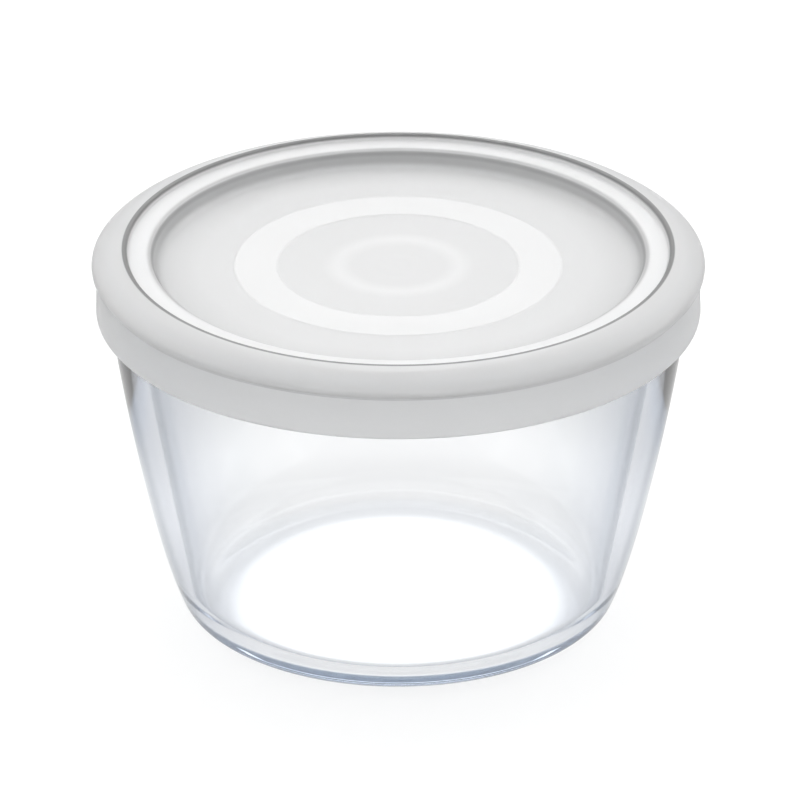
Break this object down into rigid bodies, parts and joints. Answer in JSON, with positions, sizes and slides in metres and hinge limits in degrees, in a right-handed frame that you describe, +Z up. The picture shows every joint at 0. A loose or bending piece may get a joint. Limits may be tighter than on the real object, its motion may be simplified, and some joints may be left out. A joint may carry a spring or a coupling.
{
  "type": "glass storage container",
  "caption": "Round clear glass food dish with tapered thick walls and a press-on translucent plastic lid with a recessed stacking panel.",
  "frame": {"origin": "centre of the dish's foot, on the surface it stands on", "axes": "+Z up along the dish's axis; +X and +Y are any two square directions across it, because the object is round"},
  "size_m": [0.18, 0.18, 0.116],
  "materials": {
    "clear_glass": "clear fire-polished pressed borosilicate glass",
    "lid_plastic": "satin translucent natural polyethylene, with a whiter frosted ring on the panel"
  },
  "bodies": {
    "dish": {"glass_bowl": "clear_glass"},
    "lid": {"lid": "lid_plastic"}
  },
  "joints": [
    {"name": "lid_lift", "type": "slide", "parent": "dish", "child": "lid", "axis": [0, 0, 1], "range_m": [0, 0.12]}
  ]
}
